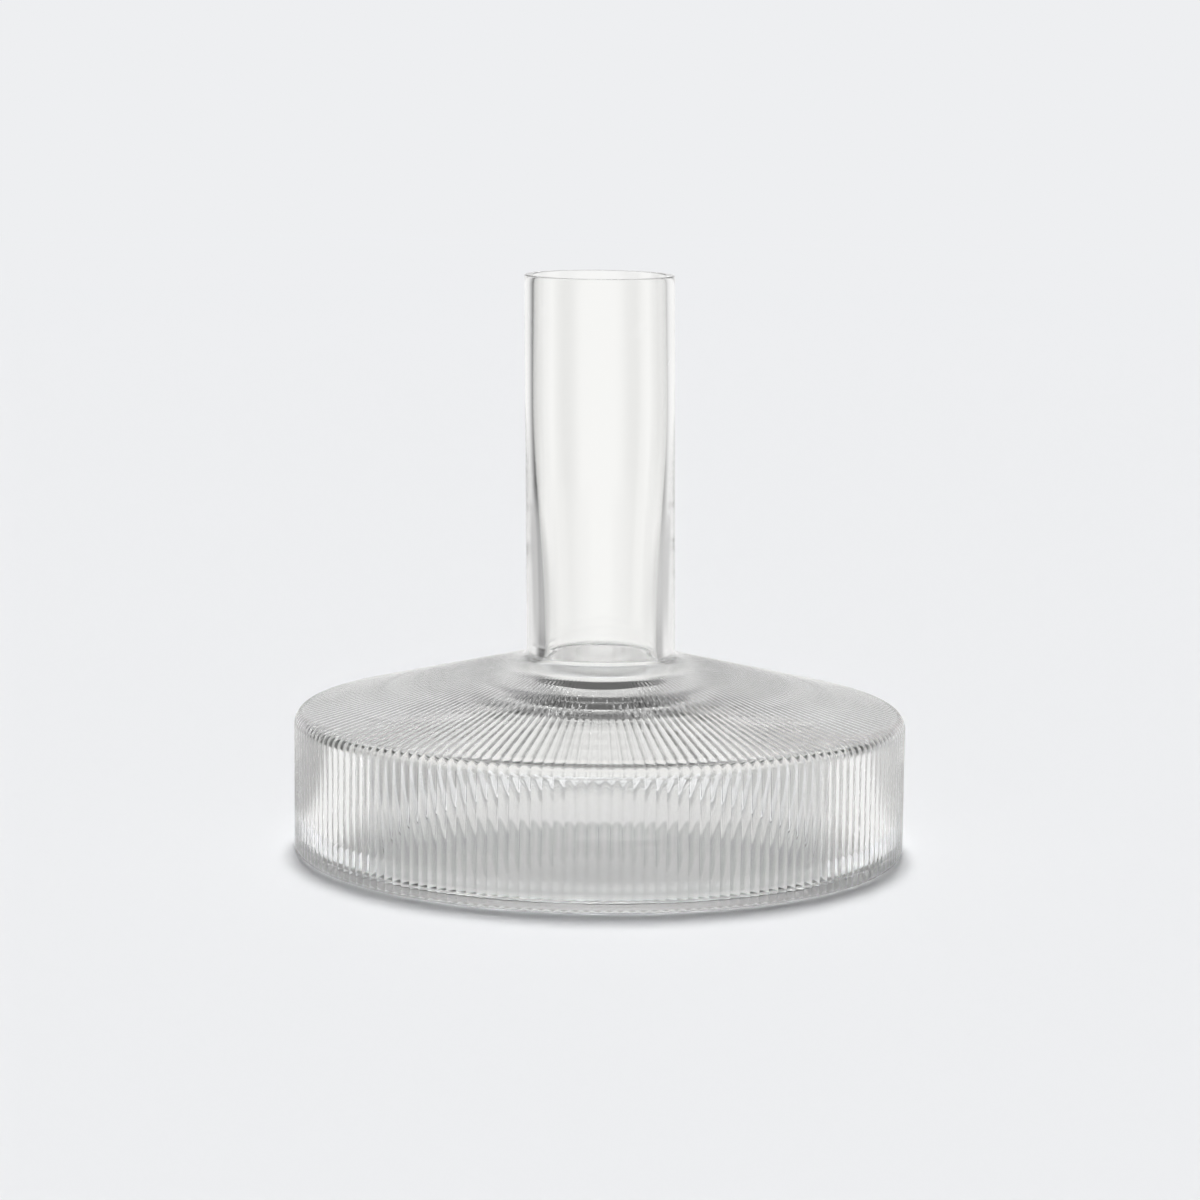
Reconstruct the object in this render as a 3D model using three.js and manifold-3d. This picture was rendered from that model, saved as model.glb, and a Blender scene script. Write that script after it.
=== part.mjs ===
// Wine carafe in clear blown glass: a low, wide, ribbed body with a straight smooth neck welded on top.
// Millimetres, +Z up, origin at the centre of the standing ring, on the table.
import * as THREE from "three";
import { mergeVertices } from "three/addons/utils/BufferGeometryUtils.js";
import Module from "manifold-3d";

const wasm = await Module();
wasm.setup();

// Driving dimensions of the whole
const TOTAL_HEIGHT = 212;
const BODY_DIAMETER = 225; // over the rib crests
const NECK_DIAMETER = 54.7;

// Driving dimensions of the body
const SIDE_HEIGHT = 47; // top of the straight side, where the shoulder starts to turn
const SHOULDER_ANGLE = THREE.MathUtils.degToRad(14); // slope of the shoulder cone
const SHOULDER_RADIUS = 5.3; // outer round from the side into the cone
const HEEL_RADIUS = 2.6; // outer round from the side into the base
const BODY_WALL = 3.2;
const BASE_THICKNESS = 4.6;
const INNER_HEEL_RADIUS = 6; // inner round from the floor into the side
const STANDING_RING_WIDTH = 14; // flat ring that touches the table
const PUNT_HEIGHT = 3.5; // rise of the hollow under the base
const COLLAR_RADIUS = 2.4; // outer round from the cone up to the weld
const COLLAR_UPSTAND = 1.2; // straight glass between that round and the weld
const THROAT_RADIUS = 6; // inner round from the shoulder up into the bore

// Driving dimensions of the ribs
const RIB_COUNT = 180;
const RIB_DEPTH = 0.75; // crest to valley on the side

// Driving dimensions of the neck
const NECK_WALL_AT_RIM = 3.2;
const NECK_WALL_AT_FOOT = 4.5;
const BORE_TAPER_POWER = 3; // how late on its way down the bore narrows
const RIM_CHAMFER = 0.5; // ground edges of the cut rim

// Facets
const RIB_STEPS = [0, 1, 1]; // share of the rib's height at the valley and at both edges of its crest
const BODY_SEGMENTS = RIB_COUNT * RIB_STEPS.length;
const SMOOTH_SEGMENTS = 60;
const HEEL_STEPS = 2;
const ROUND_STEPS = 3;
const DOME_STEPS = 3; // rings of the punt and of the floor above it
const BORE_STEPS = 6; // rings along the bore
const CUT_OVERSHOOT = 2; // how far a cutter reaches past the face that it opens
const JOIN_DEPTH = 1; // how far a joined solid reaches into its neighbour

// Sizes that follow from the driving dimensions
const bodyRadius = BODY_DIAMETER / 2;
const neckRadius = NECK_DIAMETER / 2;
const boreFootRadius = neckRadius - NECK_WALL_AT_FOOT;
const boreRimRadius = neckRadius - NECK_WALL_AT_RIM;
const standingOuterRadius = bodyRadius - HEEL_RADIUS;
const puntRadius = standingOuterRadius - STANDING_RING_WIDTH;
const outerShoulder = shoulderOf(0, neckRadius, COLLAR_RADIUS);
const innerShoulder = shoulderOf(BODY_WALL, boreFootRadius, THROAT_RADIUS);
const seamHeight = Math.max(outerShoulder.pipeStart, innerShoulder.pipeStart) + COLLAR_UPSTAND;

const glass = new THREE.MeshStandardMaterial({ color: 0xe9ecec, roughness: 0.03, metalness: 0 });
glass.transparent = true;
glass.opacity = 0.35;

// Points along an arc about (r, z), from one angle to another, both ends included.
function arc(r, z, radius, from, to, steps) {
  return Array.from({ length: steps + 1 }, (_, i) => {
    const angle = from + ((to - from) * i) / steps;
    return new THREE.Vector2(r + radius * Math.cos(angle), z + radius * Math.sin(angle));
  });
}

// Points on a shallow spherical dome, from the axis out to its edge.
function dome(radius, edgeHeight, rise) {
  const sphere = (radius * radius + rise * rise) / (2 * rise);
  return Array.from({ length: DOME_STEPS + 1 }, (_, i) => {
    const r = (radius * i) / DOME_STEPS;
    return new THREE.Vector2(r, edgeHeight + rise - sphere + Math.sqrt(sphere * sphere - r * r));
  });
}

// The shoulder of a skin that lies some depth under the crests: the round from the side into the cone,
// the round from the cone up into a pipe, and the height where that pipe becomes straight.
function shoulderOf(depth, pipeRadius, pipeRound) {
  const round = SHOULDER_RADIUS - depth;
  const centre = bodyRadius - SHOULDER_RADIUS;
  const coneRadius = centre + round * Math.sin(SHOULDER_ANGLE);
  const coneHeight = SIDE_HEIGHT + round * Math.cos(SHOULDER_ANGLE);
  const corner = coneHeight + (coneRadius - pipeRadius) * Math.tan(SHOULDER_ANGLE);
  const pipeStart = corner + pipeRound / Math.tan((Math.PI / 2 + SHOULDER_ANGLE) / 2);
  const sideRound = arc(centre, SIDE_HEIGHT, round, 0, Math.PI / 2 - SHOULDER_ANGLE, ROUND_STEPS);
  const coneEnd = 1.5 * Math.PI - SHOULDER_ANGLE;
  const pipeRoundPoints = arc(
    pipeRadius + pipeRound,
    pipeStart,
    pipeRound,
    coneEnd,
    Math.PI,
    ROUND_STEPS,
  );
  return { sideRound, pipeRoundPoints, pipeStart };
}

// A profile of (radius, height) points turned about Z.
function turned(profile, segments) {
  return new THREE.LatheGeometry(profile, segments).rotateX(Math.PI / 2);
}

// A closed geometry as a solid that can be joined and cut.
function solidOf(geometry) {
  const bare = geometry.clone();
  bare.deleteAttribute("normal");
  bare.deleteAttribute("uv");
  const merged = mergeVertices(bare);
  return new wasm.Manifold(
    new wasm.Mesh({
      numProp: 3,
      vertProperties: merged.attributes.position.array,
      triVerts: new Uint32Array(merged.index.array),
    }),
  );
}

function geometryOf(solid) {
  const mesh = solid.getMesh();
  return new THREE.BufferGeometry()
    .setAttribute("position", new THREE.BufferAttribute(mesh.vertProperties, mesh.numProp))
    .setIndex(new THREE.BufferAttribute(mesh.triVerts, 1));
}

// The body before it is hollowed. Its ribs are sunk from the crests along the skin's own normal: full
// depth on the side and the shoulder round, less and less up the cone and round the heel.
function ribbedBlank() {
  const heel = arc(standingOuterRadius, HEEL_RADIUS, HEEL_RADIUS, -Math.PI / 2, 0, HEEL_STEPS);
  const coneTop = outerShoulder.pipeRoundPoints[0];
  const skin = [
    { point: new THREE.Vector2(0, 0), share: 0 },
    ...heel.map((point, i) => ({ point, share: i / HEEL_STEPS })),
    ...outerShoulder.sideRound.map((point) => ({ point, share: 1 })),
    { point: coneTop, share: 0 },
    { point: new THREE.Vector2(0, coneTop.y), share: 0 },
  ];
  const geometry = turned(
    skin.map(({ point }) => point),
    BODY_SEGMENTS,
  );
  const { position, normal } = geometry.attributes;
  const at = new THREE.Vector3();
  const outward = new THREE.Vector3();
  for (let i = 0; i < position.count; i++) {
    const { share } = skin[i % skin.length];
    const column = Math.floor(i / skin.length);
    const rise = RIB_STEPS[column % RIB_STEPS.length];
    at.fromBufferAttribute(position, i);
    outward.fromBufferAttribute(normal, i);
    at.addScaledVector(outward, -RIB_DEPTH * share * (1 - rise));
    position.setXYZ(i, at.x, at.y, at.z);
  }
  return solidOf(geometry);
}

// The smooth upstand round the opening, on which the neck is welded.
function collar() {
  const [coneTop, ...round] = outerShoulder.pipeRoundPoints;
  const root = coneTop.y - JOIN_DEPTH;
  const profile = [
    new THREE.Vector2(0, root),
    new THREE.Vector2(coneTop.x, root),
    coneTop,
    ...round,
    new THREE.Vector2(neckRadius, seamHeight),
    new THREE.Vector2(0, seamHeight),
  ];
  return solidOf(turned(profile, SMOOTH_SEGMENTS));
}

// The space for the wine: a floor that follows the punt, a smooth side, the underside of the shoulder,
// and the throat that leads up into the neck's bore.
function cavity() {
  const heelRadius = bodyRadius - BODY_WALL - INNER_HEEL_RADIUS;
  const heelHeight = BASE_THICKNESS + INNER_HEEL_RADIUS;
  const top = seamHeight + CUT_OVERSHOOT;
  const profile = [
    ...dome(puntRadius, BASE_THICKNESS, PUNT_HEIGHT),
    ...arc(heelRadius, heelHeight, INNER_HEEL_RADIUS, -Math.PI / 2, 0, HEEL_STEPS),
    ...innerShoulder.sideRound,
    ...innerShoulder.pipeRoundPoints,
    new THREE.Vector2(boreFootRadius, top),
    new THREE.Vector2(0, top),
  ];
  return solidOf(turned(profile, SMOOTH_SEGMENTS));
}

// The hollow under the base, inside the standing ring.
function punt() {
  const profile = [
    new THREE.Vector2(0, -CUT_OVERSHOOT),
    new THREE.Vector2(puntRadius, -CUT_OVERSHOOT),
    ...dome(puntRadius, 0, PUNT_HEIGHT).reverse(),
  ];
  return solidOf(turned(profile, SMOOTH_SEGMENTS));
}

function ribbedBody() {
  const shell = ribbedBlank().add(collar()).subtract(cavity()).subtract(punt());
  const mesh = new THREE.Mesh(geometryOf(shell), glass);
  mesh.name = "ribbed_body";
  return mesh;
}

// A length of smooth tube with a cut and ground rim. Its bore narrows towards the weld.
function neckTube() {
  const rim = TOTAL_HEIGHT;
  const boreTop = rim - RIM_CHAMFER;
  const bore = Array.from({ length: BORE_STEPS + 1 }, (_, i) => {
    const down = i / BORE_STEPS;
    const radius = boreRimRadius + (boreFootRadius - boreRimRadius) * down ** BORE_TAPER_POWER;
    return new THREE.Vector2(radius, boreTop + (seamHeight - boreTop) * down);
  });
  const profile = [
    new THREE.Vector2(boreFootRadius, seamHeight),
    new THREE.Vector2(neckRadius, seamHeight),
    new THREE.Vector2(neckRadius, rim - RIM_CHAMFER),
    new THREE.Vector2(neckRadius - RIM_CHAMFER, rim),
    new THREE.Vector2(boreRimRadius + RIM_CHAMFER, rim),
    ...bore,
  ];
  const mesh = new THREE.Mesh(turned(profile, SMOOTH_SEGMENTS), glass);
  mesh.name = "neck_tube";
  return mesh;
}

const carafe = new THREE.Group();
carafe.name = "wine_carafe";
carafe.add(ribbedBody(), neckTube());

export default carafe;
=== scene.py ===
"""A wine carafe in clear blown glass, dressed on its CAD frame: ribbed body, smooth neck, plain studio."""

import logging
import math
from dataclasses import dataclass, field
from enum import Enum
from typing import Any

import bpy
import numpy as np
from mathutils import Matrix, Vector
from numpy.typing import NDArray


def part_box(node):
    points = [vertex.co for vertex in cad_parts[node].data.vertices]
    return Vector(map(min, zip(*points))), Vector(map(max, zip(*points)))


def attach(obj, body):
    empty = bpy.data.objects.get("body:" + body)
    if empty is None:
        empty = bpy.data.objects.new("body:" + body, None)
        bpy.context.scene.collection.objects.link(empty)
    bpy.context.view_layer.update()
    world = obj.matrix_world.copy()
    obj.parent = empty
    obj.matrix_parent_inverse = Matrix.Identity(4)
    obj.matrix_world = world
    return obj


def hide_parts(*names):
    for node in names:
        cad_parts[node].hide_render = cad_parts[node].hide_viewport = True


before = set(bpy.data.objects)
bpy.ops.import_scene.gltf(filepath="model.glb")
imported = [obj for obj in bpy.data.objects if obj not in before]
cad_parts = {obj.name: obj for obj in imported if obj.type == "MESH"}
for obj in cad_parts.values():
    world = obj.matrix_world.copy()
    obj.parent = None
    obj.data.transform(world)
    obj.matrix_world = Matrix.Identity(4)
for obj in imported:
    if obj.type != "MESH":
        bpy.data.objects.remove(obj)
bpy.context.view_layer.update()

Array = NDArray[np.float64]
Index = NDArray[np.int64]
Socket = bpy.types.NodeSocket

log = logging.getLogger("carafe")

MM = 0.001
ROOT_BODY = "root"
BODY_NODE = "ribbed_body"
NECK_NODE = "neck_tube"
BACKGROUND = "#EEEFF1"
WHITE = (1.0, 1.0, 1.0, 1.0)
EIGHTH_TURN = math.pi / 4
GLASS_BOUNCES = 40
BRIGHTEST_PATH = 20.0
UNSCATTERED = 0.5  # the diffuse depth of a ray that has met no matt surface lies below this


class Face(Enum):
    """The two kinds of face on a glass piece; the value is the material slot's number."""

    SKIN = 0
    WELD = 1


class Sum(Enum):
    """Sums in a node tree: the node's type, its settings, its inputs in order, and its output."""

    PLUS = ("ShaderNodeMath", {"operation": "ADD"}, (0, 1), 0)
    MINUS = ("ShaderNodeMath", {"operation": "SUBTRACT"}, (0, 1), 0)
    TIMES = ("ShaderNodeMath", {"operation": "MULTIPLY"}, (0, 1), 0)
    GREATER = ("ShaderNodeMath", {"operation": "MAXIMUM"}, (0, 1), 0)
    IS_BELOW = ("ShaderNodeMath", {"operation": "LESS_THAN"}, (0, 1), 0)
    UNSIGNED = ("ShaderNodeMath", {"operation": "ABSOLUTE"}, (0,), 0)
    ARCSINE = ("ShaderNodeMath", {"operation": "ARCSINE"}, (0,), 0)
    ANGLE = ("ShaderNodeMath", {"operation": "ARCTAN2"}, (0, 1), 0)
    FOLD = ("ShaderNodeMath", {"operation": "PINGPONG"}, (0, 1), 0)
    LENGTH = ("ShaderNodeVectorMath", {"operation": "LENGTH"}, (0,), "Value")
    BLEND = ("ShaderNodeMix", {"data_type": "FLOAT"}, (0, 2, 3), 0)
    SOFT_STEP = (
        "ShaderNodeMapRange",
        {"interpolation_type": "SMOOTHSTEP"},
        ("Value", "From Min", "From Max"),
        0,
    )


def linear(hex_colour: str) -> tuple[float, float, float, float]:
    """Turn an sRGB hex colour into linear RGBA, by the sRGB standard's own curve.

    Args:
        hex_colour: six hex digits with a leading hash.

    Returns:
        Linear red, green and blue, and an alpha of one.
    """
    channels = np.array([int(hex_colour[i : i + 2], 16) for i in (1, 3, 5)]) / 255
    low = channels / 12.92
    high = ((channels + 0.055) / 1.055) ** 2.4
    red, green, blue = np.where(channels <= 0.04045, low, high)
    return float(red), float(green), float(blue), 1.0


def add_node(
    tree: bpy.types.NodeTree,
    kind: str,
    settings: dict[str, Any] | None = None,
    inputs: dict[str | int, Any] | None = None,
) -> bpy.types.Node:
    """Add a node, set its properties, and set or link its inputs.

    Args:
        tree: the node tree to add to.
        kind: the node's type name.
        settings: properties by name.
        inputs: a value or an output socket for each named or numbered input.

    Returns:
        The new node.
    """
    node = tree.nodes.new(kind)
    for name, value in (settings or {}).items():
        setattr(node, name, value)
    for name, value in (inputs or {}).items():
        if isinstance(value, Socket):
            tree.links.new(value, node.inputs[name])
        else:
            node.inputs[name].default_value = value
    return node


@dataclass(frozen=True)
class Maths:
    """Sums on numbers in one node tree."""

    tree: bpy.types.NodeTree

    def of(self, kind: Sum, *numbers: float | Socket) -> Socket:
        """Add the node of one sum.

        Args:
            kind: which sum.
            numbers: a number or a socket for each of its inputs, in order.

        Returns:
            The socket with the result.
        """
        node, settings, inputs, output = kind.value
        return add_node(self.tree, node, settings, dict(zip(inputs, numbers))).outputs[output]

    def off_axis(self, across: Socket, deep: Socket) -> Socket:
        """How far an azimuth lies from the nearest of X and Y: the angle folded at an eighth turn."""
        return self.of(Sum.FOLD, self.of(Sum.ANGLE, across, deep), EIGHTH_TURN)


def empty_material(name: str) -> bpy.types.Material:
    """Make a material whose node tree is empty.

    Args:
        name: the real material's name.

    Returns:
        The material.
    """
    material = bpy.data.materials.new(name)
    material.use_nodes = True
    material.node_tree.nodes.clear()
    return material


def soft_step(share: Array) -> Array:
    """A smooth rise from nought to one: three times the square less twice the cube, held at both ends."""
    held = np.clip(share, 0, 1)
    return held**2 * (3 - 2 * held)


def arc(centre: tuple[float, float], radius: float, start: float, stop: float, steps: int) -> Array:
    """Points on a circle about (radius, height) centre, from one angle to another, both included."""
    angle = np.linspace(start, stop, steps + 1)
    return np.column_stack([centre[0] + radius * np.cos(angle), centre[1] + radius * np.sin(angle)])


def straight(start: Array, stop: Array, steps: int) -> Array:
    """Points strictly between two profile points, closest together near both ends.

    The spacing follows half a cosine wave, so the rounds at the ends do not bend the shading in between.
    """
    share = (1 - np.cos(np.linspace(0, math.pi, steps + 1)[1:-1, None])) / 2
    return start + (stop - start) * share


def dome(edge_radius: float, edge_height: float, rise: float, steps: int) -> Array:
    """Points on a shallow cap from near the axis out to its edge.

    The fall from the risen middle grows with the square of the radius.
    """
    radius = edge_radius * np.linspace(0, 1, steps + 1)[1:]
    return np.column_stack([radius, edge_height + rise * (1 - (radius / edge_radius) ** 2)])


def profile_normals(profile: Array) -> Array:
    """Find the unit normals of a profile, to the right of its direction of travel.

    Args:
        profile: points by (radius, height).

    Returns:
        Points by (radius, height) of the normals: the direction along the profile turned by a quarter.
    """
    along = np.gradient(profile, axis=0)
    normal = np.column_stack([along[:, 1], -along[:, 0]])
    return normal / np.linalg.norm(normal, axis=1, keepdims=True)


def turned(profile: Array, columns: int) -> Array:
    """Carry a profile of (radius, height) points round Z: X and Y are the radius times cosine and sine.

    Args:
        profile: points by (radius, height).
        columns: how many points one turn has.

    Returns:
        Rings by columns by XYZ.
    """
    angle = np.arange(columns) * (2 * math.pi / columns)
    radius, height = profile[:, :1], profile[:, 1:]
    return np.stack([radius * np.cos(angle), radius * np.sin(angle), height + 0 * angle], axis=-1)


@dataclass
class Skin:
    """A surface put together from rings of points about Z and the bands of faces between them.

    The rings follow the glass's cross-section anticlockwise, as seen with the axis on the left, so every
    band of faces points out of the glass. Edges are sharp where faces meet at more than the sharp angle:
    at flat cuts, and in the valleys between ribs of full depth.
    """

    sharp_angle: float = math.radians(49)
    points: list[Array] = field(default_factory=list)
    faces: list[Index] = field(default_factory=list)
    kinds: list[Face] = field(default_factory=list)
    count: int = 0

    def grid(self, positions: Array) -> Index:
        """Add rings of points.

        Args:
            positions: rings by columns by XYZ.

        Returns:
            The points' numbers, rings by columns.
        """
        rings, columns = positions.shape[:2]
        self.points.append(positions.reshape(-1, 3))
        numbers = self.count + np.arange(rings * columns).reshape(rings, columns)
        self.count += rings * columns
        return numbers

    def bands(self, numbers: Index, kind: Face = Face.SKIN) -> None:
        """Join each ring of a grid to the next with quads.

        Args:
            numbers: the points' numbers, rings by columns.
            kind: the kind of face.
        """
        near, far = numbers[:-1], numbers[1:]
        quads = np.stack([near, np.roll(near, -1, 1), np.roll(far, -1, 1), far], axis=-1)
        self.add(quads.reshape(-1, 4), kind)

    def flat_ring(self, near: Index, far: Index, kind: Face = Face.SKIN) -> None:
        """Join two rings in one plane whose column counts differ by a whole factor.

        Each face has one side on the coarse ring and as many short sides on the fine ring as it spans.

        Args:
            near: the numbers of the ring that the profile comes from.
            far: the numbers of the ring that it goes to.
            kind: the kind of face.
        """
        coarse, fine = (near, far) if len(near) < len(far) else (far, near)
        span = len(fine) // len(coarse)
        runs = (np.arange(len(coarse))[:, None] * span + np.arange(span + 1)) % len(fine)
        ends = np.column_stack([np.roll(coarse, -1), coarse])
        faces = np.column_stack([fine[runs], ends])
        self.add(faces if coarse is far else faces[:, ::-1], kind)

    def tip(self, ring: Index, point: Array, opens: bool) -> None:
        """Close a ring onto one point of the axis.

        Args:
            ring: the ring's numbers.
            point: the point's place.
            opens: True where the profile leaves the axis here, False where it comes back to it.
        """
        number = self.grid(point.reshape(1, 1, 3))[0, 0]
        tips = np.full(len(ring), number)
        following = np.roll(ring, -1)
        self.add(np.column_stack([tips, following, ring] if opens else [tips, ring, following]), Face.SKIN)

    def add(self, faces: Index, kind: Face) -> None:
        """Keep a batch of faces of one kind."""
        self.faces.append(faces)
        self.kinds.append(kind)

    def to_object(self, name: str) -> bpy.types.Object:
        """Make the Blender object, smooth but for its sharp edges.

        Args:
            name: the piece's name.

        Returns:
            The linked object, at the origin.
        """
        mesh = bpy.data.meshes.new(name)
        faces = [face for batch in self.faces for face in batch.tolist()]
        mesh.from_pydata(np.concatenate(self.points).tolist(), [], faces)
        kinds = np.concatenate([np.full(len(b), k.value) for b, k in zip(self.faces, self.kinds)])
        mesh.polygons.foreach_set("material_index", kinds.astype(np.int32))
        mesh.polygons.foreach_set("use_smooth", np.ones(len(kinds), dtype=bool))
        mesh.set_sharp_from_angle(angle=self.sharp_angle)
        mesh.update()
        piece = bpy.data.objects.new(name, mesh)
        bpy.context.collection.objects.link(piece)
        return piece


@dataclass(frozen=True)
class BlownGlass:
    """Clear soda-lime glass, mouth-blown and fire-polished.

    It has no colour of its own, a wet-looking surface, and edges that go grey where light has a long way
    through the glass.
    """

    name: str = "clear blown soda-lime glass"
    tint: str = "#FEFEFD"
    ior: float = 1.52
    roughness: float = 0.0

    def material(self) -> bpy.types.Material:
        """Make the glass's material.

        Returns:
            The material.
        """
        glass = empty_material(self.name)
        shader = add_node(
            glass.node_tree,
            "ShaderNodeBsdfPrincipled",
            inputs={
                "Base Color": linear(self.tint),
                "Roughness": self.roughness,
                "IOR": self.ior,
                "Transmission Weight": 1.0,
            },
        )
        add_node(glass.node_tree, "ShaderNodeOutputMaterial", inputs={"Surface": shader.outputs["BSDF"]})
        return glass


@dataclass(frozen=True)
class FusedWeld:
    """The plane where two molten glass pieces became one: light crosses it as if it were not there."""

    name: str = "fused glass weld"

    def material(self) -> bpy.types.Material:
        """Make the weld's material.

        Returns:
            The material.
        """
        weld = empty_material(self.name)
        clear = add_node(weld.node_tree, "ShaderNodeBsdfTransparent")
        add_node(weld.node_tree, "ShaderNodeOutputMaterial", inputs={"Surface": clear.outputs["BSDF"]})
        return weld


@dataclass(frozen=True)
class MattPaper:
    """Uncoated pale paper, matt: it spreads light evenly and has no gloss.

    Far off, the camera sees the plain background in its place, so that no horizon shows.
    """

    name: str = "matt pale paper"
    colour: str = "#E5E6E8"
    roughness: float = 1.0
    fade_from: float = 1.2
    fade_to: float = 4.0

    def material(self) -> bpy.types.Material:
        """Make the paper's material.

        Returns:
            The material.
        """
        paper = empty_material(self.name)
        tree = paper.node_tree
        nodes = Maths(tree)
        matt = add_node(
            tree,
            "ShaderNodeBsdfPrincipled",
            inputs={
                "Base Color": linear(self.colour),
                "Roughness": self.roughness,
                "Specular IOR Level": 0.0,
            },
        )
        plain = add_node(tree, "ShaderNodeEmission", inputs={"Color": linear(BACKGROUND)})
        place = add_node(tree, "ShaderNodeNewGeometry").outputs["Position"]
        far = nodes.of(Sum.SOFT_STEP, nodes.of(Sum.LENGTH, place), self.fade_from, self.fade_to)
        path = add_node(tree, "ShaderNodeLightPath")
        seen = nodes.of(Sum.TIMES, far, path.outputs["Is Camera Ray"])
        choice = {0: seen, 1: matt.outputs["BSDF"], 2: plain.outputs["Emission"]}
        mixed = add_node(tree, "ShaderNodeMixShader", inputs=choice)
        add_node(tree, "ShaderNodeOutputMaterial", inputs={"Surface": mixed.outputs["Shader"]})
        return paper


@dataclass(frozen=True)
class Flags:
    """Dark flags at both sides of the camera's axis, in front as behind, that draw the glass's edges. In the
    world they are parts of the room that give less light; on the glowing card they are painted shade.

    The left ones are darker than the right ones and begin nearer the axis. Angles are from the axis: where
    the shade begins, is full, begins to fade and ends.
    """

    left_shade: float = 0.85
    right_shade: float = 0.5
    left_from: float = math.radians(24)
    right_from: float = math.radians(32)
    full: float = math.radians(52)
    fade: float = math.radians(70)
    end: float = math.radians(80)

    def taken(self, nodes: Maths, across: Socket, deep: Socket) -> Socket:
        """Find how much light the flags take at an azimuth; on the glowing card this is painted shade.

        The shade rises along a soft step to its full value and fades along another.

        Args:
            nodes: the sums of the material or world.
            across: X of the point or direction.
            deep: Y of the point or direction.

        Returns:
            The light that is taken away.
        """
        azimuth = nodes.of(Sum.ANGLE, across, nodes.of(Sum.UNSIGNED, deep))
        side = nodes.of(Sum.UNSIGNED, azimuth)
        left = nodes.of(Sum.SOFT_STEP, side, self.left_from, self.full)
        right = nodes.of(Sum.SOFT_STEP, side, self.right_from, self.full)
        left = nodes.of(Sum.TIMES, left, self.left_shade)
        right = nodes.of(Sum.TIMES, right, self.right_shade)
        shade = nodes.of(Sum.BLEND, nodes.of(Sum.IS_BELOW, azimuth, 0.0), right, left)
        return nodes.of(Sum.TIMES, shade, nodes.of(Sum.SOFT_STEP, side, self.end, self.fade))


@dataclass(frozen=True)
class GlowingCardWithPaintedShade:
    """Pale glowing card with painted shade in soft fields: the glass shows it in place of the bare floor.

    Its far part has painted shade where the flags stand. Its near part also has painted shade between the
    axes, at every quarter turn, and less painted shade from the flags.
    """

    name: str = "glowing card with painted shade"
    flags: Flags = Flags()
    pale: float = 0.94
    near_end: float = 0.45
    near_soft: float = 67.5 * MM
    near_shade: float = 0.35
    near_from: float = math.radians(14)
    near_to: float = math.radians(28)
    near_flags: float = 0.6

    def material(self) -> bpy.types.Material:
        """Make the card's material.

        Returns:
            The material.
        """
        card = empty_material(self.name)
        tree = card.node_tree
        nodes = Maths(tree)
        place = add_node(tree, "ShaderNodeNewGeometry").outputs["Position"]
        axes = add_node(tree, "ShaderNodeSeparateXYZ", inputs={0: place}).outputs
        # painted shade where the flags stand, over the whole card
        far = self.flags.taken(nodes, axes["X"], axes["Y"])
        # painted shade on the near part of the card, between the axes
        near = nodes.of(Sum.SOFT_STEP, nodes.off_axis(axes["X"], axes["Y"]), self.near_from, self.near_to)
        near = nodes.of(Sum.TIMES, near, self.near_shade)
        near = nodes.of(Sum.GREATER, near, nodes.of(Sum.TIMES, far, self.near_flags))
        distance = nodes.of(Sum.LENGTH, place)
        near_edges = self.near_end - self.near_soft, self.near_end + self.near_soft
        shade = nodes.of(Sum.BLEND, nodes.of(Sum.SOFT_STEP, distance, *near_edges), near, far)
        level = nodes.of(Sum.MINUS, self.pale, shade)
        # the card glows though it is no lamp: its strength is the pale level less the painted shade
        glow = add_node(tree, "ShaderNodeEmission", inputs={"Strength": level})
        add_node(tree, "ShaderNodeOutputMaterial", inputs={"Surface": glow.outputs["Emission"]})
        return card


@dataclass
class GlassPiece:
    """A blown piece of the carafe that takes the place of one CAD node."""

    def build(self) -> bpy.types.Object:
        """Make the piece's object, which each kind of piece does in its own way."""
        raise NotImplementedError

    def dress(self, node: str, materials: list[bpy.types.Material]) -> None:
        """Build the piece, give it its materials and set it in place of its CAD node.

        Args:
            node: the CAD node's name.
            materials: one for each kind of face, in order.
        """
        piece = self.build()
        for material in materials:
            piece.data.materials.append(material)
        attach(piece, ROOT_BODY)
        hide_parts(node)
        log.info("%s: %d points, %d faces", piece.name, len(piece.data.vertices), len(piece.data.polygons))


@dataclass(frozen=True)
class SoftRing:
    """A ring round the axis where a surface is a little steeper, or flatter where its angle is negative."""

    radius: float
    half: float
    angle: float

    def slope(self, radius: Array) -> Array:
        """The angle added at each radius: a bell curve, e to minus the square of the half widths away."""
        return self.angle * np.exp(-(((radius - self.radius) / self.half) ** 2))


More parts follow.
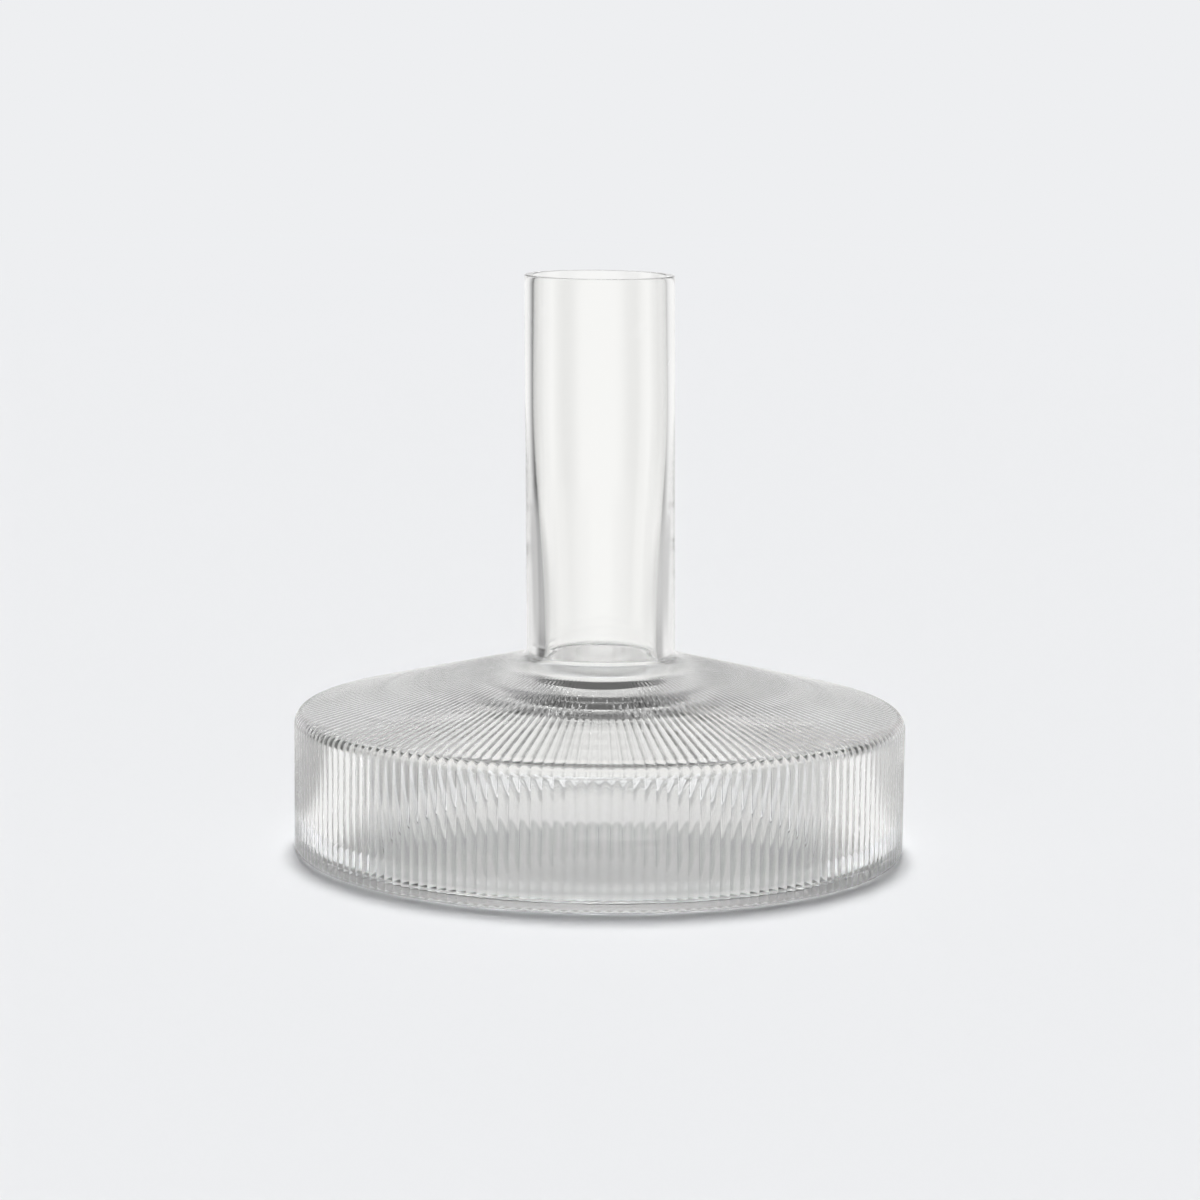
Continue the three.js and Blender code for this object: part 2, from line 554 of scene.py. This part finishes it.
@dataclass
class RibbedBody(GlassPiece):
    """The low, wide vessel with ribs over heel, side and shoulder, smooth inside.

    Its profiles are points of (radius, height). The outer one follows the ribs' crests.
    """

    radius: float
    collar_radius: float
    weld_height: float

    # The outside, and the hollow under the base within the standing ring.
    side_height: float = 47.0 * MM
    shoulder_angle: float = math.radians(14)
    shoulder_round: float = 5.3 * MM
    collar_round: float = 2.4 * MM
    heel_round: float = 2.6 * MM
    standing_ring: float = 14.0 * MM
    punt_rise: float = 3.5 * MM

    # The thickness of the side and the base, and the round between them.
    wall: float = 1.7 * MM
    base: float = 3.0 * MM
    inner_heel_round: float = 4.0 * MM

    # The underside of the shoulder: its slope far out and its slope further in, each with the radius
    # where the turn to it begins and where it is full, and three soft rings on it.
    far_angle: float = math.radians(11.4)
    far_from: float = 106.5 * MM
    far_to: float = 103.0 * MM
    under_angle: float = math.radians(6.5)
    under_from: float = 79.3 * MM
    under_to: float = 57.0 * MM
    bead: SoftRing = SoftRing(69.8 * MM, 1.6 * MM, math.radians(1.0))
    bright: SoftRing = SoftRing(50.5 * MM, 2.5 * MM, math.radians(1.15))
    dip: SoftRing = SoftRing(42.6 * MM, 6.6 * MM, math.radians(-5.25))

    # The throat: where it begins, and the bore and height it heads for, which lie above the weld.
    throat_radius: float = 37.9 * MM
    throat_top: float = 77.1 * MM
    throat_power: float = 0.83
    bore_radius: float = 20.5 * MM
    weld_clear: float = 0.1 * MM

    # The ribs: their depth on the side, the share of it at the cone's edge, the radius where they begin,
    # the power by which they grow from there, and the height and width of their rise over the heel.
    ribs: int = 180
    rib_depth: float = 0.6 * MM
    rib_cone: float = 0.36
    rib_start: float = 30.0 * MM
    rib_power: float = 0.5
    rib_foot: float = 0.3 * MM
    rib_foot_rise: float = 1.6 * MM

    # How finely the rings and the profiles are cut.
    rib_points: int = 8
    smooth_columns: int = 240
    heel_steps: int = 6
    side_steps: int = 4
    corner_steps: int = 10
    cone_steps: int = 12
    collar_steps: int = 6
    inner_corner_steps: int = 12
    under_rings: int = 100
    throat_steps: int = 24
    inner_heel_steps: int = 8
    punt_steps: int = 10

    def corner(self, depth: float, steps: int) -> Array:
        """The round from the side into the shoulder, some depth under the crests, about one centre."""
        centre = (self.radius - self.shoulder_round, self.side_height)
        return arc(centre, self.shoulder_round - depth, 0, math.pi / 2 - self.shoulder_angle, steps)

    def shoulder(self) -> Array:
        """Work out the crests' profile from the top of the side to the weld.

        A round turns the side into a cone, the cone runs straight, and a round turns it up into the collar.

        Returns:
            Points by (radius, height).
        """
        side = self.corner(0.0, self.corner_steps)
        meeting = side[-1, 1] + (side[-1, 0] - self.collar_radius) * math.tan(self.shoulder_angle)
        collar_foot = meeting + self.collar_round / math.tan((math.pi / 2 + self.shoulder_angle) / 2)
        centre = (self.collar_radius + self.collar_round, collar_foot)
        cone_end = 1.5 * math.pi - self.shoulder_angle
        collar = arc(centre, self.collar_round, cone_end, math.pi, self.collar_steps)
        top = np.array([[self.collar_radius, self.weld_height]])
        return np.concatenate([side, straight(side[-1], collar[0], self.cone_steps), collar, top])

    def outer_profile(self) -> Array:
        """Work out the crests' profile, from the edge of the standing ring up to the weld.

        Returns:
            Points by (radius, height).
        """
        centre = (self.radius - self.heel_round, self.heel_round)
        heel = arc(centre, self.heel_round, -math.pi / 2, 0, self.heel_steps)
        above = self.shoulder()
        return np.concatenate([heel, straight(heel[-1], above[0], self.side_steps), above])

    def under_slope(self, radius: Array) -> Array:
        """Find the slope of the shoulder's underside at each radius.

        At the corner it is the outside's own angle. Going in it turns evenly to the far angle, so the glass
        thickens a little, and then along a soft step to a flatter angle, so it thickens more. The soft rings
        add to it or take from it.

        Args:
            radius: the radii.

        Returns:
            The slopes, as angles.
        """
        far = np.clip((self.far_from - radius) / (self.far_from - self.far_to), 0, 1)
        outside = self.shoulder_angle + (self.far_angle - self.shoulder_angle) * far
        inward = soft_step((self.under_from - radius) / (self.under_from - self.under_to))
        rings = self.bead.slope(radius) + self.bright.slope(radius) + self.dip.slope(radius)
        return outside + (self.under_angle - outside) * inward + rings

    def throat(self, start: Array) -> Array:
        """Work out the throat: a quarter of a blunted ellipse from the underside up into the bore.

        The way across is a power of the sine, and the way up is one less the same power of the cosine.

        Args:
            start: the underside's last point.

        Returns:
            Points by (radius, height), after the start.
        """
        turn = np.linspace(0, math.pi / 2, self.throat_steps + 1)[1:]
        across = np.sin(turn) ** self.throat_power
        up = 1 - np.cos(turn) ** self.throat_power
        reach = np.array([self.bore_radius, self.throat_top]) - start
        return start + reach * np.column_stack([across, up])

    def under_shoulder(self) -> Array:
        """Work out the underside of the shoulder, from the weld down and out to the top of the inner side.

        Its height is the sum of its slope's tangent over the radius. It is summed in half steps.

        Returns:
            Points by (radius, height).
        """
        side = self.corner(self.wall, self.inner_corner_steps)
        radius = np.linspace(side[-1, 0], self.throat_radius, 2 * self.under_rings)
        rise = np.tan(self.under_slope(radius)) * -np.gradient(radius)
        height = side[-1, 1] + np.cumsum(rise) - rise[0]
        cone = np.column_stack([radius, height])[1::2]
        throat = self.throat(cone[-1])
        kept = throat[throat[:, 1] < self.weld_height - self.weld_clear]
        edge = np.interp(self.weld_height, throat[:, 1], throat[:, 0])
        weld = np.array([[edge, self.weld_height]])
        return np.concatenate([side, cone, kept, weld])[::-1]

    def inner_profile(self) -> Array:
        """Work out the smooth inside, from the weld down to near the floor's middle.

        Returns:
            Points by (radius, height).
        """
        above = self.under_shoulder()
        centre = (self.radius - self.wall - self.inner_heel_round, self.base + self.inner_heel_round)
        heel = arc(centre, self.inner_heel_round, 0, -math.pi / 2, self.inner_heel_steps)
        floor = self.punt(self.base)[::-1]
        return np.concatenate([above, straight(above[-1], heel[0], self.side_steps), heel, floor])

    def punt(self, edge_height: float) -> Array:
        """The hollow inside the standing ring, or the rise above it, from near the axis outwards."""
        edge_radius = self.radius - self.heel_round - self.standing_ring
        return dome(edge_radius, edge_height, self.punt_rise, self.punt_steps)

    def rib_share(self, profile: Array) -> Array:
        """Find how deep the ribs are at each profile point, as a share of their depth on the side.

        The depth rises over the heel along a soft step and is full on the side. Round the corner it falls
        with the radius, and up the cone with a power of the distance left to where the ribs begin.

        Args:
            profile: points by (radius, height).

        Returns:
            The share at each point.
        """
        radius, height = profile.T
        rise = soft_step((height - self.rib_foot) / self.rib_foot_rise)
        edge = self.radius - self.shoulder_round
        grown = np.clip((radius - self.rib_start) / (edge - self.rib_start), 0, 1) ** self.rib_power
        past_edge = np.clip((radius - edge) / self.shoulder_round, 0, 1)
        cone = self.rib_cone * grown + (1 - self.rib_cone) * past_edge
        return np.where(height < self.side_height, rise, cone)

    def ribbed(self, profile: Array) -> Array:
        """Work out the outer skin: each point sunk from the crest along the profile's normal.

        Across one rib the height is half a sine wave, so crests are round and valleys narrow.

        Args:
            profile: points by (radius, height).

        Returns:
            Rings by columns by XYZ.
        """
        columns = self.ribs * self.rib_points
        angle = np.arange(columns) * (2 * math.pi / columns)
        phase = np.arange(columns) % self.rib_points / self.rib_points
        sunk = 1 - np.abs(np.sin(math.pi * phase))
        depth = self.rib_depth * self.rib_share(profile)[:, None] * sunk
        normal = profile_normals(profile)
        radius = profile[:, :1] - normal[:, :1] * depth
        height = profile[:, 1:] - normal[:, 1:] * depth
        return np.stack([radius * np.cos(angle), radius * np.sin(angle), height], axis=-1)

    def build(self) -> bpy.types.Object:
        """Make the body as one closed piece of glass.

        Returns:
            The object.
        """
        skin = Skin()
        under = skin.grid(turned(self.punt(0.0), self.smooth_columns))
        skin.tip(under[0], np.array([0.0, 0.0, self.punt_rise]), opens=True)
        skin.bands(under)
        outer = skin.grid(self.ribbed(self.outer_profile()))
        skin.flat_ring(under[-1], outer[0])
        skin.bands(outer)
        inner = skin.grid(turned(self.inner_profile(), self.smooth_columns))
        skin.flat_ring(outer[-1], inner[0], Face.WELD)
        skin.bands(inner)
        skin.tip(inner[-1], np.array([0.0, 0.0, self.base + self.punt_rise]), opens=False)
        return skin.to_object("body_glass")


@dataclass
class NeckTube(GlassPiece):
    """The straight smooth tube with a cut and ground rim, which leans a little to the left."""

    radius: float
    weld_height: float
    rim_height: float
    bore_foot: float
    bore_waist: float = 24.5 * MM
    bore_rim: float = 24.1 * MM
    waist_share: float = 0.35
    lean: float = 0.014
    chamfer: float = 0.5 * MM

    # How finely the rings and the profile are cut.
    columns: int = 360
    side_steps: int = 24
    chamfer_steps: int = 4
    bore_steps: int = 48

    def bore_profile(self, top: float) -> Array:
        """Work out the bore from under the rim down to the weld.

        It widens a little from the rim to its waist, then narrows towards the weld, along half-waves.

        Args:
            top: the height it begins at.

        Returns:
            Points by (radius, height).
        """
        down = np.linspace(0, 1, self.bore_steps + 1)
        above = np.clip(down / self.waist_share, 0, 1)
        below = np.clip((down - self.waist_share) / (1 - self.waist_share), 0, 1)
        radius = (
            self.bore_rim
            + (self.bore_waist - self.bore_rim) * (1 - np.cos(math.pi * above)) / 2
            + (self.bore_foot - self.bore_waist) * (1 - np.cos(math.pi * below)) / 2
        )
        return np.column_stack([radius, top + (self.weld_height - top) * down])

    def build(self) -> bpy.types.Object:
        """Make the neck as one closed piece of glass, each ring moved to the left with its height.

        Returns:
            The object.
        """
        skin = Skin()
        quarter = math.pi / 2
        top = self.rim_height - self.chamfer
        bore = self.bore_profile(top)
        foot = np.array([[self.radius, self.weld_height]])
        outer_edge = arc((self.radius - self.chamfer, top), self.chamfer, 0, quarter, self.chamfer_steps)
        inner_centre = (bore[0, 0] + self.chamfer, top)
        inner_edge = arc(inner_centre, self.chamfer, quarter, 2 * quarter, self.chamfer_steps)
        side = straight(foot[0], outer_edge[0], self.side_steps)
        shape = turned(np.concatenate([foot, side, outer_edge, inner_edge, bore[1:]]), self.columns)
        shape[..., 0] -= self.lean * (shape[..., 2] - self.weld_height)
        rings = skin.grid(shape)
        skin.bands(rings)
        skin.bands(np.stack([rings[-1], rings[0]]), Face.WELD)
        return skin.to_object("neck_glass")


@dataclass(frozen=True)
class StripLamp:
    """A narrow soft lamp overhead, a little behind the carafe, in the plane of the camera's axis.

    Its ends are angles up from the horizon behind, and half its width is an angle off the plane.
    """

    low: float = math.radians(66)
    high: float = math.radians(84)
    half: float = math.radians(5.5)
    edge: float = math.radians(2)
    power: float = 45.5
    fill: float = 0.25

    def level(self, nodes: Maths, across: Socket, deep: Socket, height: Socket) -> Socket:
        """Find the light from a direction: the lamp, soft at its edges, and a little fill from everywhere.

        Args:
            nodes: the world's sums.
            across: X of the direction.
            deep: Y of the direction.
            height: Z of the direction.

        Returns:
            The strength of the light.
        """
        aside = nodes.of(Sum.ARCSINE, nodes.of(Sum.UNSIGNED, across))
        along = nodes.of(Sum.ANGLE, height, deep)
        narrow = nodes.of(Sum.SOFT_STEP, aside, self.half + self.edge, self.half - self.edge)
        above = nodes.of(Sum.SOFT_STEP, along, self.low - self.edge, self.low + self.edge)
        below = nodes.of(Sum.SOFT_STEP, along, self.high + self.edge, self.high - self.edge)
        lamp = nodes.of(Sum.TIMES, nodes.of(Sum.TIMES, above, below), narrow)
        return nodes.of(Sum.PLUS, nodes.of(Sum.TIMES, lamp, self.power), self.fill)


@dataclass(frozen=True)
class Belt:
    """A belt of the room between two elevations, with soft edges."""

    low: float
    high: float
    soft: float

    def share(self, nodes: Maths, height: Socket) -> Socket:
        """Find how far a direction lies in the belt.

        Args:
            nodes: the world's sums.
            height: Z of the direction, which is the sine of its elevation.

        Returns:
            One in the belt and nought outside it.
        """
        lower = math.sin(self.low - self.soft), math.sin(self.low + self.soft)
        upper = math.sin(self.high + self.soft), math.sin(self.high - self.soft)
        rise = nodes.of(Sum.SOFT_STEP, height, *lower)
        fall = nodes.of(Sum.SOFT_STEP, height, *upper)
        return nodes.of(Sum.TIMES, rise, fall)


@dataclass(frozen=True)
class ShownRoom:
    """The room that the glass shows, from the floor up: a pale wall less the flags, a gap, a panel, dark.

    The gap is dim and the panel pale near the axes X and Y, and both go dark between them, so the room is
    alike at every quarter turn but for the flags.
    """

    flags: Flags = Flags()
    wall: float = 0.85
    wall_flags: float = 0.9
    wall_belt: Belt = Belt(math.radians(-60), math.radians(10.8), math.radians(0.7))
    gap: float = 0.5
    gap_between: float = 0.08
    gap_from: float = math.radians(12)
    gap_to: float = math.radians(24)
    gap_belt: Belt = Belt(math.radians(10), math.radians(25), math.radians(1))
    panel: float = 0.9
    panel_from: float = math.radians(25)
    panel_to: float = math.radians(40)
    panel_belt: Belt = Belt(math.radians(25), math.radians(39), math.radians(2))
    dark: float = 0.03

    def level(self, nodes: Maths, across: Socket, deep: Socket, height: Socket) -> Socket:
        """Find what the glass shows in a direction: the brightest of the belts and the dark.

        Args:
            nodes: the world's sums.
            across: X of the direction.
            deep: Y of the direction.
            height: Z of the direction.

        Returns:
            The strength of the light.
        """
        aside = nodes.off_axis(across, deep)
        shade = nodes.of(Sum.TIMES, self.flags.taken(nodes, across, deep), self.wall_flags)
        wall = nodes.of(Sum.MINUS, self.wall, shade)
        wall = nodes.of(Sum.TIMES, self.wall_belt.share(nodes, height), wall)
        gap = nodes.of(Sum.SOFT_STEP, aside, self.gap_to, self.gap_from)
        gap = nodes.of(Sum.TIMES, gap, self.gap - self.gap_between)
        gap = nodes.of(Sum.PLUS, gap, self.gap_between)
        gap = nodes.of(Sum.TIMES, gap, self.gap_belt.share(nodes, height))
        panel = nodes.of(Sum.SOFT_STEP, aside, self.panel_to, self.panel_from)
        panel = nodes.of(Sum.TIMES, panel, self.panel)
        panel = nodes.of(Sum.TIMES, panel, self.panel_belt.share(nodes, height))
        lower = nodes.of(Sum.GREATER, wall, gap)
        return nodes.of(Sum.GREATER, lower, nodes.of(Sum.GREATER, panel, self.dark))


@dataclass(frozen=True)
class Studio:
    """A pale floor that runs out of sight, a strip lamp overhead, and the room that the glass shows."""

    paper: MattPaper = MattPaper()
    card: GlowingCardWithPaintedShade = GlowingCardWithPaintedShade()
    lamp: StripLamp = StripLamp()
    room: ShownRoom = ShownRoom()
    floor_half: float = 6.0
    floor_gap: float = 0.2 * MM
    cards_inner: float = 0.15
    cards_sides: int = 120

    def floor(self) -> None:
        """Lay the floor, a hair under the standing ring."""
        mesh = bpy.data.meshes.new("floor")
        side = self.floor_half
        corners = [(-side, -side), (side, -side), (side, side), (-side, side)]
        mesh.from_pydata([(x, y, -self.floor_gap) for x, y in corners], [], [(0, 1, 2, 3)])
        mesh.materials.append(self.paper.material())
        floor = bpy.data.objects.new("floor", mesh)
        bpy.context.collection.objects.link(floor)

    def glowing_cards(self) -> None:
        """Lay a flat ring of glowing card with painted shade on the floor, clear of the carafe. Only the
        glass shows it.
        """
        skin = Skin()
        height = -self.floor_gap / 2
        profile = np.array([[self.floor_half, height], [self.cards_inner, height]])
        skin.bands(skin.grid(turned(profile, self.cards_sides)))
        glowing_cards = skin.to_object("glowing_cards")
        glowing_cards.data.materials.append(self.card.material())
        # a glowing stand-in for the floor, with painted shade, that only the glass sees
        glowing_cards.visible_camera = False
        glowing_cards.visible_diffuse = False
        glowing_cards.visible_shadow = False

    def surround(self) -> None:
        """Light the scene from the world.

        The lamp and the fill light the floor. Rays that the glass reflects or lets through show the room,
        unless they met the floor before, and the camera's own rays show the plain background.
        """
        world = bpy.data.worlds.new("studio")
        world.use_nodes = True
        tree = world.node_tree
        tree.nodes.clear()
        nodes = Maths(tree)
        direction = add_node(tree, "ShaderNodeTexCoord").outputs["Generated"]
        axes = add_node(tree, "ShaderNodeSeparateXYZ", inputs={0: direction}).outputs
        lit = self.lamp.level(nodes, axes["X"], axes["Y"], axes["Z"])
        shown = self.room.level(nodes, axes["X"], axes["Y"], axes["Z"])
        path = add_node(tree, "ShaderNodeLightPath").outputs
        by_glass = nodes.of(Sum.GREATER, path["Is Glossy Ray"], path["Is Transmission Ray"])
        straight_on = nodes.of(Sum.IS_BELOW, path["Diffuse Depth"], UNSCATTERED)
        by_glass = nodes.of(Sum.TIMES, by_glass, straight_on)
        level = nodes.of(Sum.BLEND, by_glass, lit, shown)
        light = add_node(tree, "ShaderNodeBackground", inputs={"Color": WHITE, "Strength": level})
        plain = add_node(tree, "ShaderNodeBackground", inputs={"Color": linear(BACKGROUND)})
        choice = {0: path["Is Camera Ray"], 1: light.outputs["Background"], 2: plain.outputs["Background"]}
        mixed = add_node(tree, "ShaderNodeMixShader", inputs=choice)
        add_node(tree, "ShaderNodeOutputWorld", inputs={"Surface": mixed.outputs["Shader"]})
        bpy.context.scene.world = world


@dataclass(frozen=True)
class PhotoCamera:
    """The camera where the photograph was taken from, with its lengths in millimetres.

    The tilt is the angle up from looking straight down, and the roll turns it about its own axis.
    """

    sensor: float = 36.0
    lens: float = 116.02
    place: tuple[float, float, float] = (-0.45, -1406.8, 303.0)
    tilt: float = math.radians(90 - 8.511)
    roll: float = math.radians(0.637)

    def stand(self) -> None:
        """Make the scene's camera."""
        data = bpy.data.cameras.new("camera")
        data.sensor_width = self.sensor
        data.lens = self.lens
        camera = bpy.data.objects.new("camera", data)
        place = Matrix.Translation(Vector(self.place) * MM)
        tilt = Matrix.Rotation(self.tilt, 4, "X")
        roll = Matrix.Rotation(self.roll, 4, "Z")
        camera.matrix_world = place @ tilt @ roll
        bpy.context.collection.objects.link(camera)
        bpy.context.scene.camera = camera


def set_light_paths() -> None:
    """Let light cross many layers of glass, and hold back single paths that would leave bright dots."""
    scene = bpy.context.scene
    scene.view_settings.view_transform = "Standard"
    scene.cycles.max_bounces = GLASS_BOUNCES
    scene.cycles.transmission_bounces = GLASS_BOUNCES
    scene.cycles.glossy_bounces = GLASS_BOUNCES
    scene.cycles.blur_glossy = 0.0
    scene.cycles.sample_clamp_indirect = BRIGHTEST_PATH


def main() -> None:
    """Build the carafe and its studio."""
    logging.basicConfig(level=logging.INFO, format="%(name)s: %(message)s")
    set_light_paths()
    _, body_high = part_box(BODY_NODE)
    neck_low, neck_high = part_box(NECK_NODE)
    materials = [BlownGlass().material(), FusedWeld().material()]
    body = RibbedBody(radius=body_high[0], collar_radius=neck_high[0], weld_height=body_high[2])
    throat = body.under_shoulder()[0, 0]
    neck = NeckTube(radius=neck_high[0], weld_height=neck_low[2], rim_height=neck_high[2], bore_foot=throat)
    body.dress(BODY_NODE, materials)
    neck.dress(NECK_NODE, materials)
    studio = Studio()
    studio.floor()
    studio.glowing_cards()
    studio.surround()
    PhotoCamera().stand()


if __name__ == "__main__":
    main()
